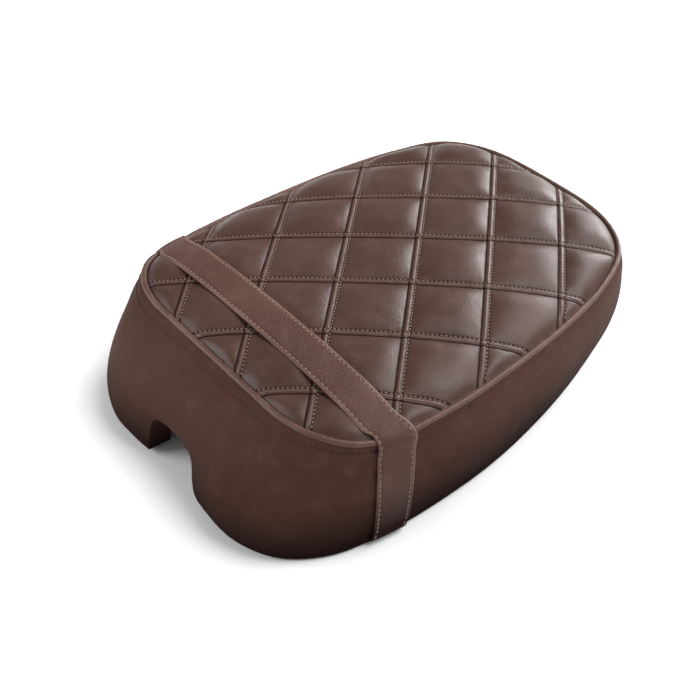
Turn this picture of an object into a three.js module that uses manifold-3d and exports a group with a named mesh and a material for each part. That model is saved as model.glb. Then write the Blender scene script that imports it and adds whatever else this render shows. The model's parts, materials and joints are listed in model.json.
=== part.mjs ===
// Quilted passenger seat of a motorcycle, with a grab strap. It hinges up at the front and latches
// at the rear. Millimetres: +Y points to the rear, +X to the rider's left, +Z up. The origin is
// under the middle of the seat, on the plane that the hem stands on.

import * as THREE from "three";
import { mergeVertices } from "three/addons/utils/BufferGeometryUtils.js";
import Module from "manifold-3d";

const wasm = await Module();
wasm.setup();

// ---------------------------------------------------------------- driving dimensions

const GAP = 0.3; // air between pieces that touch
const LEATHER = 1.6;
const AROUND = 48; // facets round the seat

// Half outlines of the cover, from the front middle round the left side to the rear middle.
// Points of equal rank lie above each other, and the strap goes down at the sixth.
const SEAM_LINE = [
  [0, -174, 108], [50, -174, 108], [88, -173, 108], [115, -165, 107.5], [138, -147, 104.5],
  [149, -119, 100.5], [155, -60, 98], [154, 0, 97.5], [148, 75, 98], [135, 139, 99],
  [114, 184, 101.5], [74, 209, 102.5], [0, 216, 102.5],
];
const BELLY_LINE = [
  [0, -220, 46], [50, -224, 46], [88, -220, 46], [120, -204, 47], [144, -170, 48],
  [157, -124, 50], [165, -55, 50], [163, 0, 50], [155, 75, 50], [140, 143, 50],
  [120, 190, 50], [81, 221, 50], [0, 230.5, 50],
];
const FOOT_LINE = [
  [0, -221, 4], [45, -225, 4], [85, -224, 4], [120, -208, 4], [145, -175, 4],
  [157, -128, 4], [162, -55, 4], [160, 0, 4], [149, 72, 4], [132, 137, 4],
  [113, 184, 4], [76, 210, 4], [0, 217, 4],
];
const STRAP_RANK = 5;
const DROPS = [0.05, 0.16, 0.3, 0.46, 0.62, 0.8, 1]; // rows of the side wall, from seam to foot

// The top is a low crown that rolls down to the seam in its last stretch.
const CROWN = { height: 117.6, middleY: 23, acrossDrop: 4.26e-4, alongDrop: 5e-5, rollPower: 6 };

const PIPING = { radius: 2.5, wall: 0.9, inset: 1.2, drop: 1, flangeDepth: 9, flangeThickness: 1.2 };
const PIPING_CORD_RADIUS = 1.3;

const WADDING = 6;
const FOAM_SLACK = 1.1; // air between the foam and the side leather

// Opening in the front wall: a round arch on upright flanks, which flare out to the foot.
const ARCH = { halfWidth: 29, height: 50, flankZ: 30, flare: 12, frontY: -250, backY: -202 };

// The pan is an inverted tray. Its wall is given by its inset from the foot line at four heights.
const PAN = {
  rimZ: 2.3, hemZ: 14.5, shoulderZ: 44, roofZ: 50, thickness: 4,
  rimInset: 2.5, shoulderInset: 10.5, roofInset: 15, wall: 2.8,
};
const ROOF_UNDER = PAN.roofZ - PAN.thickness;
const HEM = { outside: 7.2, inside: 5.6, top: 14 }; // the hem turned up inside the pan's rim

const RIB = { thickness: 3, depth: 9, alongX: [-78, 78], crossY: [-84, -12, 60, 132], reachX: 112 };
const PAD_HEIGHT = 6; // thickening on the roof above the hinge and latch screws

const STRAP = {
  width: 32, lift: 0.9, lining: 1, leather: 2.2, relief: 6.4,
  endX: 92, endY: -126, screwX: 104, screwY: 9, plateHalfX: 9, plateHalfY: 15,
};

const BUMPER = { radius: 13, height: 18, chamfer: 2, stem: 4, stemTop: 38, x: [110, 88], y: [-166, 162] };
const SCREW = { radius: 2.6, top: 54, headRadius: 5, headHeight: 2.6 };

const HINGE = {
  pinY: -199, pinZ: 36, pinRadius: 4, headRadius: 7, headHeight: 2.7, screwX: [34, 50], screwY: -184,
  earX: 60.4, earRadius: 7, earThickness: 2.6, washerRadius: 8, washerThickness: 1.4,
  clipRadius: 6.5, clipThickness: 0.6, clipMouth: 4.8,
};

const BRACKET = {
  armRise: 6.5, armThickness: 3, legY: [-151, -140], baseY: [-151, -116], baseThickness: 3,
  boltX: [-40, 40], boltRadius: 4.3,
};

const LATCH = {
  y: 178, screwX: 22, plateEnd: 8, plateHalfY: 12, loopWidth: 26, rod: 4, bend: 7, bottomZ: 14,
};

const SHEET_STEEL = 2.5;

// ---------------------------------------------------------------- vectors, outlines and surfaces

const vector = (x, y, z) => new THREE.Vector3(x, y, z);
const steps = (count) => Array.from({ length: count }, (_, i) => i);

// A closed curve through half an outline and its mirror image.
function closedOutline(half) {
  const left = half.map(([x, y, z]) => vector(x, y, z));
  const right = half.slice(1, -1).reverse().map(([x, y, z]) => vector(-x, y, z));
  return new THREE.CatmullRomCurve3([...left, ...right], true, "centripetal");
}

const seamLine = closedOutline(SEAM_LINE);
const bellyLine = closedOutline(BELLY_LINE);
const footLine = closedOutline(FOOT_LINE);
const strapTurn = STRAP_RANK / (2 * (SEAM_LINE.length - 1));

const lap = (turn) => turn - Math.floor(turn);

// A point on the side of the cover: turn runs 0 to 1 round the seat, drop 0 to 1 from seam to foot.
function skin(turn, drop) {
  const top = seamLine.getPoint(lap(turn));
  const middle = bellyLine.getPoint(lap(turn));
  const foot = footLine.getPoint(lap(turn));
  const handle = middle.multiplyScalar(2).addScaledVector(top, -0.5).addScaledVector(foot, -0.5);
  return new THREE.QuadraticBezierCurve3(top, handle, foot).getPoint(drop);
}

// The level direction along an outline, and the level direction out of the seat.
function along(turn, line) {
  const step = 0.002;
  return line.getPoint(lap(turn + step)).sub(line.getPoint(lap(turn - step))).setZ(0).normalize();
}
function outward(turn, line) {
  const ahead = along(turn, line);
  return vector(ahead.y, -ahead.x, 0);
}

// skin() moved inwards by a depth, square to the surface.
function skinInset(turn, drop, depth) {
  const step = 0.01;
  const down = skin(turn, Math.min(drop + step, 1)).sub(skin(turn, Math.max(drop - step, 0)));
  const ahead = skin(turn + step, drop).sub(skin(turn - step, drop));
  const out = down.cross(ahead).normalize();
  return skin(turn, drop).addScaledVector(out, -depth);
}

// A point at a level inset from the foot line or from the seam line.
function footInset(turn, inset, z) {
  return footLine.getPoint(lap(turn)).addScaledVector(outward(turn, footLine), -inset).setZ(z);
}
function seamInset(turn, inset, z) {
  const seam = seamLine.getPoint(lap(turn));
  return seam.addScaledVector(outward(turn, seamLine), -inset).setZ(seam.z + z);
}

function crownHeight(x, y) {
  return CROWN.height - CROWN.acrossDrop * x * x - CROWN.alongDrop * (y - CROWN.middleY) ** 2;
}

// A point of the top at a share of the way from the seam to the middle, lowered by a depth.
function topPoint(turn, share, depth = 0) {
  const seam = seamLine.getPoint(lap(turn));
  const x = seam.x * (1 - share);
  const y = seam.y * (1 - share);
  const roll = (crownHeight(seam.x, seam.y) - seam.z) * (1 - share) ** CROWN.rollPower;
  return vector(x, y, crownHeight(x, y) - roll - depth);
}
const shareOf = (turn, inset) => inset / Math.hypot(...seamLine.getPoint(lap(turn)).setZ(0).toArray());

// ---------------------------------------------------------------- closed solids

// Turns a closed surface's faces outwards, whichever way it was wound.
function facingOut(geometry) {
  const p = geometry.getAttribute("position");
  const index = geometry.index.array;
  const corner = (i) => vector().fromBufferAttribute(p, index[i]);
  let volume = 0;
  for (let i = 0; i < index.length; i += 3) volume += corner(i).dot(corner(i + 1).cross(corner(i + 2)));
  if (volume < 0) index.reverse();
  return geometry;
}

function surface(points, faces) {
  const geometry = new THREE.BufferGeometry();
  geometry.setAttribute("position", new THREE.Float32BufferAttribute(points.flatMap((p) => p.toArray()), 3));
  geometry.setIndex(faces);
  return facingOut(geometry);
}

// A closed surface through rings round the seat, from one pole to the other.
function betweenPoles(firstPole, rings, lastPole) {
  const count = rings[0].length;
  const points = [...rings.flat(), firstPole, lastPole];
  const first = points.length - 2;
  const last = points.length - 1;
  const end = (rings.length - 1) * count;
  const faces = [];
  for (const i of steps(count)) {
    const j = (i + 1) % count;
    faces.push(first, i, j);
    for (const row of steps(rings.length - 1)) {
      const here = row * count;
      const next = here + count;
      faces.push(here + i, next + i, here + j, here + j, next + i, next + j);
    }
    faces.push(end + i, last, end + j);
  }
  return surface(points, faces);
}

// A sheet with thickness. Each station is two rows of equal length: its outer and its inner face.
function thickSheet(stations, closed) {
  const sections = stations.map(({ outer, inner }) => [...outer, ...inner.slice().reverse()]);
  const size = sections[0].length;
  const faces = [];
  const joins = closed ? sections.length : sections.length - 1;
  for (const station of steps(joins)) {
    const here = station * size;
    const next = ((station + 1) % sections.length) * size;
    for (const i of steps(size)) {
      const j = (i + 1) % size;
      faces.push(here + i, next + i, here + j, here + j, next + i, next + j);
    }
  }
  if (!closed) {
    const end = (sections.length - 1) * size;
    for (const i of steps(size / 2 - 1)) {
      const [a, b, c, d] = [i, i + 1, size - 2 - i, size - 1 - i];
      faces.push(a, b, d, b, c, d, end + b, end + a, end + d, end + c, end + b, end + d);
    }
  }
  return surface(sections.flat(), faces);
}

function toSolid(geometry) {
  const bare = new THREE.BufferGeometry();
  bare.setAttribute("position", geometry.getAttribute("position").clone());
  if (geometry.index) bare.setIndex(geometry.index.clone());
  const merged = mergeVertices(bare, 1e-4);
  const vertProperties = merged.getAttribute("position").array;
  const triVerts = new Uint32Array(merged.index.array);
  return new wasm.Manifold(new wasm.Mesh({ numProp: 3, vertProperties, triVerts }));
}

function toGeometry(solid) {
  const { vertProperties, triVerts } = solid.getMesh();
  const geometry = new THREE.BufferGeometry();
  geometry.setAttribute("position", new THREE.Float32BufferAttribute(vertProperties, 3));
  geometry.setIndex(Array.from(triVerts));
  return geometry;
}

function joined(...pieces) {
  return toGeometry(pieces.map(toSolid).reduce((all, next) => all.add(next)));
}
function cut(body, ...tools) {
  return toGeometry(tools.map(toSolid).reduce((left, tool) => left.subtract(tool), toSolid(body)));
}

function box([x0, y0, z0], [x1, y1, z1]) {
  const shape = new THREE.BoxGeometry(x1 - x0, y1 - y0, z1 - z0);
  return shape.translate((x0 + x1) / 2, (y0 + y1) / 2, (z0 + z1) / 2);
}

// A round bar along Z or along X between two ends.
function barZ(x, y, z0, z1, radius, facets = 20) {
  const bar = new THREE.CylinderGeometry(radius, radius, z1 - z0, facets);
  return bar.rotateX(Math.PI / 2).translate(x, y, (z0 + z1) / 2);
}
function barX(x0, x1, y, z, radius, facets = 20) {
  const bar = new THREE.CylinderGeometry(radius, radius, x1 - x0, facets);
  return bar.rotateZ(Math.PI / 2).translate((x0 + x1) / 2, y, z);
}

// A flat profile in Y and Z, given a thickness along X.
function plateX(shape, x0, x1, curveSegments = 10) {
  const depth = x1 - x0;
  const plate = new THREE.ExtrudeGeometry(shape, { depth, bevelEnabled: false, curveSegments });
  return plate.rotateY(Math.PI / 2).rotateX(Math.PI / 2).translate(x0, 0, 0);
}

// ---------------------------------------------------------------- scene graph

const finishes = {
  top_leather: [0x5b4038, 0.42, 0], skirt_leather: [0x4d3029, 0.5, 0], strap_leather: [0x67443a, 0.5, 0],
  piping_leather: [0x7a5245, 0.5, 0], foam: [0xd8cfae, 0.95, 0], wadding: [0xe8e6e0, 0.95, 0],
  cord: [0xd9d2c4, 0.9, 0], pan: [0x1b1b1c, 0.6, 0], steel: [0xb9bcc0, 0.35, 1],
  bracket: [0x26272a, 0.5, 0.6], rubber: [0x141414, 0.85, 0],
};

const seat = new THREE.Group();
const frameSide = new THREE.Group();

function piece(parent, name, geometry, finish) {
  const [color, roughness, metalness] = finishes[finish];
  geometry.computeVertexNormals();
  const mesh = new THREE.Mesh(geometry, new THREE.MeshStandardMaterial({ color, roughness, metalness }));
  mesh.name = name;
  parent.add(mesh);
  return mesh;
}

const sides = [["left", 1], ["right", -1]];
const ring = (point) => steps(AROUND).map((i) => point(i / AROUND));
const shrunk = (points, share) => points.map((p) => vector(p.x * share, p.y * share, p.z));

// ---------------------------------------------------------------- openings in the cover and pan

// The front arch as a tool that runs through the front wall, with a margin round it.
function archTool(margin) {
  const { flankZ, flare, frontY, backY } = ARCH;
  const wide = ARCH.halfWidth + margin;
  const high = ARCH.height + margin;
  const bell = new THREE.Shape();
  bell.moveTo(-wide - flare, -1);
  bell.bezierCurveTo(-wide - 0.35 * flare, 2, -wide - 1.5, 0.4 * flankZ, -wide, flankZ);
  bell.bezierCurveTo(-0.98 * wide, 0.96 * high, -0.9 * wide, 1.02 * high, 0, high);
  bell.bezierCurveTo(0.9 * wide, 1.02 * high, 0.98 * wide, 0.96 * high, wide, flankZ);
  bell.bezierCurveTo(wide + 1.5, 0.4 * flankZ, wide + 0.35 * flare, 2, wide + flare, -1);
  const depth = backY - frontY;
  const run = new THREE.ExtrudeGeometry(bell, { depth, bevelEnabled: false, curveSegments: 7 });
  return run.rotateX(Math.PI / 2).translate(0, backY, 0);
}

// The shallow gate in the rim that the strap passes under, on each side.
function strapGates() {
  const foot = footLine.getPoint(strapTurn);
  const ahead = along(strapTurn, footLine);
  return sides.map(([, side]) => {
    const gate = new THREE.BoxGeometry(60, STRAP.width + 2, 2 * STRAP.relief);
    const lean = Math.atan2(-ahead.x, ahead.y) * side;
    return gate.rotateZ(lean).translate(side * foot.x, foot.y, 0);
  });
}

// ---------------------------------------------------------------- pan

const panOuter = [
  [PAN.rimInset, PAN.rimZ], [PAN.rimInset, PAN.hemZ],
  [PAN.shoulderInset, PAN.shoulderZ], [PAN.roofInset, PAN.roofZ],
];
const panInner = [
  [PAN.roofInset + PAN.wall, ROOF_UNDER], [PAN.shoulderInset + PAN.wall, PAN.shoulderZ - PAN.thickness],
  [PAN.rimInset + PAN.wall, PAN.hemZ], [PAN.rimInset + PAN.wall, PAN.rimZ],
];
const footRing = ([inset, z]) => ring((turn) => footInset(turn, inset, z));

function panShell() {
  const rings = [...panOuter.map(footRing).reverse(), ...panInner.map(footRing).reverse()];
  return betweenPoles(vector(0, 0, PAN.roofZ), rings, vector(0, 0, ROOF_UNDER));
}

function ribs() {
  const bottom = ROOF_UNDER - RIB.depth;
  const top = ROOF_UNDER + 1;
  const half = RIB.thickness / 2;
  const [frontY, rearY] = [RIB.crossY[0], RIB.crossY.at(-1)];
  const lengthways = RIB.alongX.map((x) => box([x - half, frontY, bottom], [x + half, rearY, top]));
  const crossways = RIB.crossY.map((y) => box([-RIB.reachX, y - half, bottom], [RIB.reachX, y + half, top]));
  return [...lengthways, ...crossways];
}

const bumperPlaces = ["front", "rear"].flatMap((end, i) =>
  sides.map(([name, side]) => ({ name: `${end}_${name}`, x: side * BUMPER.x[i], y: BUMPER.y[i] })));

// Screws that go up into blind holes in the pads on the roof.
const latchScrews = [-1, 1].map((side) => ({ x: side * LATCH.screwX, y: LATCH.y }));
const hingeScrews = sides.flatMap(([name, side]) =>
  HINGE.screwX.map((x, i) => ({ name: `${name}_${i + 1}`, x: side * x, y: HINGE.screwY })));
const strapScrews = sides.flatMap(([name, side]) =>
  [-1, 1].map((end, i) => {
    return { name: `${name}_${i + 1}`, x: side * STRAP.screwX, y: STRAP.endY + end * STRAP.screwY };
  }));

// Pads on top of the roof, one over each group of screws, with a margin for the foam's pockets.
function pads(margin = 0) {
  const top = PAN.roofZ + PAD_HEIGHT + margin;
  const reach = PAD_HEIGHT + margin;
  const pad = (places) => {
    const x = places.map((p) => p.x);
    const y = places.map((p) => p.y);
    return box([Math.min(...x) - reach, Math.min(...y) - reach, PAN.roofZ - 1],
      [Math.max(...x) + reach, Math.max(...y) + reach, top]);
  };
  const onSides = [hingeScrews, strapScrews].flatMap((screws) => [screws.slice(0, 2), screws.slice(2)]);
  return [latchScrews, ...onSides].map(pad);
}

function seatPan() {
  const postRadius = BUMPER.radius - 3;
  const posts = bumperPlaces.map(({ x, y }) => barZ(x, y, BUMPER.height, ROOF_UNDER + 1, postRadius, 18));
  const sockets = bumperPlaces.map(({ x, y }) => barZ(x, y, 0, BUMPER.stemTop + GAP, BUMPER.stem + GAP, 12));
  const holes = [...latchScrews, ...hingeScrews, ...strapScrews].map(({ x, y }) =>
    barZ(x, y, ROOF_UNDER - 1, SCREW.top + GAP, SCREW.radius + GAP, 10));
  const solid = joined(panShell(), ...ribs(), ...posts, ...pads());
  return cut(solid, archTool(LEATHER + GAP), ...strapGates(), ...sockets, ...holes);
}

piece(seat, "seat_pan", seatPan(), "pan");

// ---------------------------------------------------------------- foam and wadding

const TOP_STACK = LEATHER + WADDING + 4 * GAP; // depth of the foam under the top's surface

function foamCore() {
  const top = [0.5, 0.2].map((share) => ring((turn) => topPoint(turn, share, TOP_STACK)));
  const edge = ring((turn) => topPoint(turn, shareOf(turn, 10), TOP_STACK));
  const wall = DROPS.slice(1, -1).map((drop) => ring((turn) => skinInset(turn, drop, LEATHER + FOAM_SLACK)));
  const lipZ = wall.at(-1)[0].z;
  const slope = (PAN.shoulderInset - PAN.rimInset) / (PAN.shoulderZ - PAN.hemZ);
  const lip = [PAN.rimInset + slope * (lipZ - PAN.hemZ), lipZ];
  const onPan = [lip, [PAN.shoulderInset, PAN.shoulderZ], [PAN.roofInset, PAN.roofZ]];
  const inside = onPan.map(([inset, z]) => footRing([inset - 2 * GAP, z + GAP]));
  const roof = shrunk(inside.at(-1), 0.5);
  const crown = vector(0, 0, crownHeight(0, 0) - TOP_STACK);
  const block = betweenPoles(crown, [...top, edge, ...wall, ...inside, roof], vector(0, 0, PAN.roofZ + GAP));
  return cut(block, archTool(LEATHER + 2 * GAP), ...pads(GAP));
}

// A sheet over the crown, from an inset at the seam to the middle.
function crownSheet(inset, depth, thickness, shares) {
  const layer = (lower) => [
    ring((turn) => topPoint(turn, shareOf(turn, inset), lower)),
    ...shares.map((share) => ring((turn) => topPoint(turn, share, lower))),
  ];
  const under = depth + thickness;
  const rings = [...layer(depth).reverse(), ...layer(under)];
  const middle = crownHeight(0, 0);
  return betweenPoles(vector(0, 0, middle - depth), rings, vector(0, 0, middle - under));
}

piece(seat, "foam_core", foamCore(), "foam");
piece(seat, "top_wadding", crownSheet(10, LEATHER + GAP, WADDING, [0.2, 0.5]), "wadding");
piece(seat, "quilted_top_panel", crownSheet(5.4, 0, LEATHER, [0.09, 0.2, 0.5]), "top_leather");

// ---------------------------------------------------------------- side panels of the cover

// One length of the side cover, from under the welt down and round the pan's rim to its hem.
function skirt(from, to, facets) {
  const stations = steps(facets + 1).map((i) => {
    const turn = from + ((to - from) * i) / facets;
    const toe = HEM.outside;
    const outer = [
      ...DROPS.map((drop) => skin(turn, drop)),
      footInset(turn, 0.8, 1.2), footInset(turn, LEATHER + 0.6, 0), footInset(turn, toe - 1, 0),
      footInset(turn, toe, 1), footInset(turn, toe, HEM.top),
    ];
    const inner = [
      ...DROPS.map((drop) => skinInset(turn, drop, LEATHER)),
      footInset(turn, LEATHER + 0.1, 2), footInset(turn, LEATHER + 0.6, LEATHER),
      footInset(turn, HEM.inside - 0.2, LEATHER), footInset(turn, HEM.inside, 2),
      footInset(turn, HEM.inside, HEM.top),
    ];
    return { outer, inner };
  });
  return cut(thickSheet(stations, false), archTool(0), ...strapGates());
}

const seamGap = 0.0004; // share of a turn between two panels
piece(seat, "front_skirt_panel", skirt(-strapTurn + seamGap, strapTurn - seamGap, 20), "skirt_leather");
piece(seat, "left_skirt_panel", skirt(strapTurn + seamGap, 0.5 - seamGap, 14), "skirt_leather");
piece(seat, "right_skirt_panel", skirt(0.5 + seamGap, 1 - strapTurn - seamGap, 14), "skirt_leather");

// ---------------------------------------------------------------- piping

// A round section about the welt's middle at an angle from straight down, positive outwards.
function weltPoint(turn, radius, angle) {
  const out = radius * Math.sin(angle);
  return seamInset(turn, PIPING.inset - out, -PIPING.drop - radius * Math.cos(angle));
}

// The wrap is a nearly closed round with a flange that is sewn in between the panels.
function pipingWrap() {
  const start = THREE.MathUtils.degToRad(-16);
  const end = THREE.MathUtils.degToRad(286);
  const arc = 7;
  const innerRadius = PIPING.radius - PIPING.wall;
  const stations = steps(AROUND).map((i) => {
    const turn = i / AROUND;
    const angles = steps(arc).map((k) => start + ((end - start) * k) / (arc - 1));
    const low = -PIPING.drop - PIPING.flangeDepth;
    const face = PIPING.inset + PIPING.radius * Math.sin(-start);
    const back = face + PIPING.flangeThickness;
    const shelf = -PIPING.drop - innerRadius * Math.cos(start);
    const outer = [
      seamInset(turn, face, low),
      ...angles.map((angle) => weltPoint(turn, PIPING.radius, angle)),
    ];
    const inner = [
      seamInset(turn, back, low), seamInset(turn, back, shelf),
      ...angles.slice(1).map((angle) => weltPoint(turn, innerRadius, angle)),
    ];
    return { outer, inner };
  });
  return thickSheet(stations, true);
}

function pipingCord() {
  const corners = 6;
  const stations = steps(AROUND).map((i) => {
    const point = (k) => weltPoint(i / AROUND, PIPING_CORD_RADIUS, (2 * Math.PI * k) / corners);
    const half = corners / 2;
    return { outer: steps(half).map(point), inner: steps(half).map((k) => point(corners - 1 - k)) };
  });
  return thickSheet(stations, true);
}

piece(seat, "piping_wrap", pipingWrap(), "piping_leather");
piece(seat, "piping_cord", pipingCord(), "cord");

// ---------------------------------------------------------------- strap

// Stations of the strap on the left side: points on the face it lies against, and its width direction.
function strapHalf() {
  const across = vector(0, 1, 0);
  const down = along(strapTurn, bellyLine);
  const between = across.clone().add(down).normalize();
  const y = STRAP.endY;
  const bend = HEM.outside + 2;
  const inside = [
    [vector(STRAP.endX, y, ROOF_UNDER - GAP), across],
    [vector(STRAP.endX + 24, y, ROOF_UNDER - GAP), across],
    [vector(STRAP.endX + 32, y, ROOF_UNDER - 3), between],
    [footInset(strapTurn, bend + 6, ROOF_UNDER - 12), down],
    [footInset(strapTurn, bend, HEM.top), down],
    [footInset(strapTurn, bend, STRAP.relief + 1.2), down],
    [footInset(strapTurn, bend - 2.2, STRAP.relief - 1.1), down],
    [footInset(strapTurn, 1, STRAP.relief - 1.1), down],
    [footInset(strapTurn, -1.6, STRAP.relief + 1.6), down],
  ];
  const side = [0.9, 0.8, 0.7, 0.55, 0.4, 0.25, 0.12].map((drop) => [skin(strapTurn, drop), down]);
  const seam = seamLine.getPoint(strapTurn);
  const seamWay = seamLine.getTangent(strapTurn);
  const over = [[-1.8, -0.1], [0.6, 1.7], [6, 2.9]].map(([inset, z]) => {
    return [seamInset(strapTurn, inset, z), seamWay];
  });
  const shoulderDrop = 8;
  const top = [0.88, 0.7, 0.5, 0.3, 0.12].map((share) => {
    const x = seam.x * share;
    return [vector(x, seam.y, crownHeight(x, seam.y) - shoulderDrop * share ** 8), across];
  });
  return [...inside, ...side, ...over, ...top];
}

// The strap between two distances from the face that it lies against.
function strapSheet(from, to, halfWidth) {
  const left = strapHalf();
  const mirrored = left.map(([p, w]) => [vector(-p.x, p.y, p.z), vector(-w.x, w.y, w.z)]).reverse();
  const all = [...left, ...mirrored];
  const stations = all.map(([point, width], i) => {
    const before = all[Math.max(i - 1, 0)][0];
    const after = all[Math.min(i + 1, all.length - 1)][0];
    const out = width.clone().cross(after.clone().sub(before)).normalize();
    const row = (lift) => [-1, 1].map((end) =>
      point.clone().addScaledVector(out, lift).addScaledVector(width, end * halfWidth));
    return { outer: row(to), inner: row(from) };
  });
  return thickSheet(stations, false);
}

const liningTop = STRAP.lift + STRAP.lining;
const strapUnder = liningTop + 3 * GAP;
const strapHoles = strapScrews.map(({ x, y }) => barZ(x, y, 30, PAN.roofZ, SCREW.radius + GAP, 8));
const lining = strapSheet(STRAP.lift, liningTop, STRAP.width / 2 - 0.5);
const strap = strapSheet(strapUnder, strapUnder + STRAP.leather, STRAP.width / 2);
piece(seat, "strap_lining", cut(lining, ...strapHoles), "strap_leather");
piece(seat, "grab_strap", cut(strap, ...strapHoles), "strap_leather");

// ---------------------------------------------------------------- fasteners under the pan

// A pan-head screw that goes up from a seat height. Its head is below that height.
function screw(x, y, under) {
  const { radius, top, headRadius, headHeight } = SCREW;
  const profile = [
    [0, -headHeight], [headRadius - 1.2, -headHeight], [headRadius, 0],
    [radius, 0], [radius, top - under], [0, top - under],
  ].map(([r, z]) => new THREE.Vector2(r, z));
  return new THREE.LatheGeometry(profile, 8).rotateX(Math.PI / 2).translate(x, y, under);
}

const holed = (plate, places, z0, z1) =>
  cut(plate, ...places.map(({ x, y }) => barZ(x, y, z0 - 1, z1 + 1, SCREW.radius + GAP, 12)));

function roundedPlate(x0, y0, x1, y1, z0, z1, radius) {
  const shape = new THREE.Shape();
  shape.moveTo(x0 + radius, y0).lineTo(x1 - radius, y0);
  shape.absarc(x1 - radius, y0 + radius, radius, -Math.PI / 2, 0);
  shape.lineTo(x1, y1 - radius).absarc(x1 - radius, y1 - radius, radius, 0, Math.PI / 2);
  shape.lineTo(x0 + radius, y1).absarc(x0 + radius, y1 - radius, radius, Math.PI / 2, Math.PI);
  shape.lineTo(x0, y0 + radius).absarc(x0 + radius, y0 + radius, radius, Math.PI, 1.5 * Math.PI);
  const plate = new THREE.ExtrudeGeometry(shape, { depth: z1 - z0, bevelEnabled: false, curveSegments: 4 });
  return plate.translate(0, 0, z0);
}

// Plates that clamp the strap's ends against the roof, through the strap.
const strapPlateTop = ROOF_UNDER - GAP - strapUnder - STRAP.leather - GAP;
const strapPlateUnder = strapPlateTop - SHEET_STEEL;
for (const [name, side] of sides) {
  const screws = strapScrews.filter((place) => place.name.startsWith(name));
  const x0 = side * STRAP.screwX - STRAP.plateHalfX;
  const x1 = side * STRAP.screwX + STRAP.plateHalfX;
  const [y0, y1] = [STRAP.endY - STRAP.plateHalfY, STRAP.endY + STRAP.plateHalfY];
  const plate = roundedPlate(x0, y0, x1, y1, strapPlateUnder, strapPlateTop, 4);
  piece(seat, `strap_plate_${name}`, holed(plate, screws, strapPlateUnder, strapPlateTop), "steel");
}
for (const { name, x, y } of strapScrews) {
  piece(seat, `strap_screw_${name}`, screw(x, y, strapPlateUnder - GAP), "steel");
}

for (const { name, x, y } of bumperPlaces) {
  const { radius, height, chamfer, stem, stemTop } = BUMPER;
  const profile = [
    [0, 0], [radius - chamfer, 0], [radius, chamfer], [radius, height - 2 * chamfer],
    [radius - 2 * chamfer, height - GAP], [stem, height - GAP], [stem, stemTop], [0, stemTop],
  ].map(([r, z]) => new THREE.Vector2(r, z));
  const bumper = new THREE.LatheGeometry(profile, 14).rotateX(Math.PI / 2).translate(x, y, 0);
  piece(seat, `bumper_${name}`, bumper, "rubber");
}

// ---------------------------------------------------------------- hinge

// Distances out from the middle: the seat's ear, a washer and the bracket's arm.
const EAR = { inner: HINGE.earX, outer: HINGE.earX + HINGE.earThickness };
const WASHER = { inner: EAR.outer + GAP, outer: EAR.outer + GAP + HINGE.washerThickness };
const ARM = { inner: WASHER.outer + GAP, outer: WASHER.outer + GAP + BRACKET.armThickness };
const GROOVE_X = EAR.inner - 2.4;
const plateTop = ROOF_UNDER - GAP;
const plateUnder = plateTop - SHEET_STEEL;

const span = (side, from, to) => [side * from, side * to].sort((p, q) => p - q);
const barAcross = (side, from, to, radius, facets) =>
  barX(...span(side, from, to), HINGE.pinY, HINGE.pinZ, radius, facets);
const pinHole = (side) => barAcross(side, EAR.inner - 8, ARM.outer + 8, HINGE.pinRadius + GAP, 16);

// The seat's leaf: a flange under the roof and an ear down to the pin.
function seatLeaf(side, screws) {
  const [x0, x1] = span(side, HINGE.screwX[0] - 8, EAR.outer);
  const flange = box([x0, HINGE.screwY - 8, plateUnder], [x1, HINGE.screwY + 10, plateTop]);
  const ear = new THREE.Shape();
  ear.moveTo(HINGE.screwY + 10, plateTop - 1).lineTo(HINGE.screwY - 4, HINGE.pinZ - 6);
  ear.absarc(HINGE.pinY, HINGE.pinZ, HINGE.earRadius, -Math.PI / 2.4, -Math.PI, true);
  ear.lineTo(HINGE.pinY - 5, plateTop - 2).lineTo(HINGE.pinY - 3, plateTop - 1);
  const solid = joined(flange, plateX(ear, ...span(side, EAR.inner, EAR.outer), 6));
  return holed(cut(solid, pinHole(side)), screws, plateUnder, plateTop);
}

// The bike's bracket: a base plate, and two arms that reach forward over the front wall's path.
function frameBracket() {
  const { armRise, legY, baseY, baseThickness, boltX, boltRadius } = BRACKET;
  const side = new THREE.Shape();
  side.moveTo(legY[1], 0).lineTo(legY[1], HINGE.pinZ + armRise - 4);
  side.lineTo(legY[1] - 4, HINGE.pinZ + armRise).lineTo(HINGE.pinY, HINGE.pinZ + armRise);
  side.absarc(HINGE.pinY, HINGE.pinZ, armRise, Math.PI / 2, 1.5 * Math.PI);
  side.lineTo(legY[0] - 6, HINGE.pinZ - armRise).lineTo(legY[0], HINGE.pinZ - armRise - 6).lineTo(legY[0], 0);
  const arms = sides.map(([, s]) => plateX(side, ...span(s, ARM.inner, ARM.outer), 8));
  const base = box([-ARM.outer, baseY[0], 0], [ARM.outer, baseY[1], baseThickness]);
  const bolts = boltX.map((x) => barZ(x, (baseY[0] + baseY[1]) / 2, -1, baseThickness + 1, boltRadius, 16));
  return cut(joined(base, ...arms), ...sides.map(([, s]) => pinHole(s)), ...bolts);
}

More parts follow.
